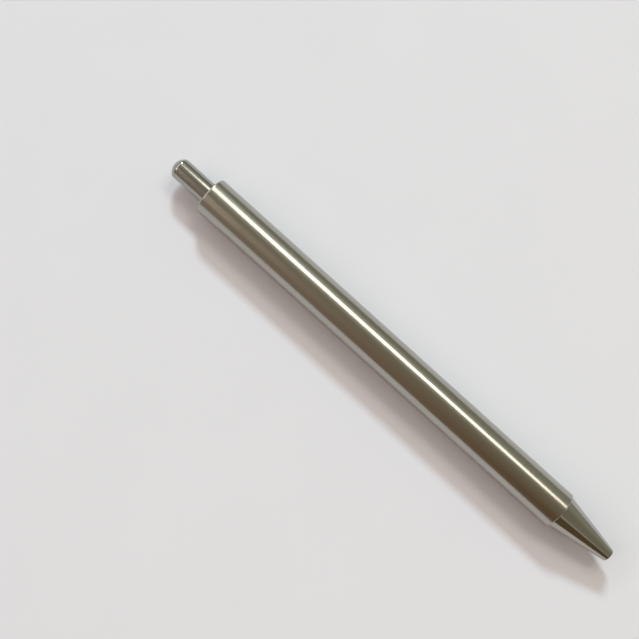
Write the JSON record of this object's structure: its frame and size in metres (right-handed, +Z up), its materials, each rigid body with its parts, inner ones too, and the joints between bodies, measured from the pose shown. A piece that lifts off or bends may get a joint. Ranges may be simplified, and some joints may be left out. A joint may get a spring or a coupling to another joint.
{
  "type": "retractable ballpoint pen",
  "caption": "Slim all-metal ballpoint pen with a plain round barrel, a tapered screw-in nose and a domed push button that extends and latches the writing tip.",
  "frame": {"origin": "on the ground under the middle of the pen's length and width, as it lies on its barrel", "axes": "+X along the pen towards its nose, +Z up"},
  "size_m": [0.1414, 0.01, 0.01],
  "materials": {
    "polished_steel": "polished stainless steel",
    "dark_steel": "turned, matt",
    "brass": "turned",
    "tip_brass": "drawn and turned nickel brass",
    "acetal": "moulded",
    "spring_steel": "drawn wire",
    "refill_steel": "drawn tube",
    "carbide": "ground carbide",
    "ink": "oil ink"
  },
  "bodies": {
    "barrel": {"barrel_tube": "polished_steel", "front_thread_bush": "brass", "end_bush": "dark_steel", "mechanism_tube": "brass", "upper_cam_ring": "acetal", "lower_cam_ring": "acetal"},
    "nose": {"nose_cone": "polished_steel"},
    "button": {"push_button": "polished_steel", "thrust_plunger": "acetal"},
    "refill": {"refill_tube": "refill_steel", "refill_neck": "refill_steel", "writing_tip": "tip_brass", "refill_plug": "acetal", "ink": "ink", "return_spring": "spring_steel"},
    "rotor": {"cam_rotor": "brass", "cross_pin": "spring_steel"},
    "ball": {"ball": "carbide"}
  },
  "joints": [
    {"name": "button_press", "type": "slide", "parent": "barrel", "child": "button", "axis": [1, 0, 0], "range_m": [0, 0.008], "stiffness_N_per_m": 250, "springref_m": -0.004},
    {"name": "refill_advance", "type": "slide", "parent": "barrel", "child": "refill", "axis": [1, 0, 0], "range_m": [0, 0.008], "deforming": ["return_spring"]},
    {"name": "rotor_index", "type": "hinge", "parent": "refill", "child": "rotor", "pos_m": [-0.0422, 0, 0.005], "axis": [1, 0, 0], "range_deg": [-50, 0]},
    {"name": "ball_roll", "type": "hinge", "parent": "refill", "child": "ball", "pos_m": [0.0691, 0, 0.005], "axis": [0, 1, 0], "continuous": true},
    {"name": "nose_removal", "type": "slide", "parent": "barrel", "child": "nose", "axis": [1, 0, 0], "range_m": [0, 0.032]}
  ],
  "couplings": [
    {"joint": "refill_advance", "follows": "button_press", "ratio": 1},
    {"joint": "rotor_index", "follows": "button_press", "rad_per_m": -109.08}
  ]
}
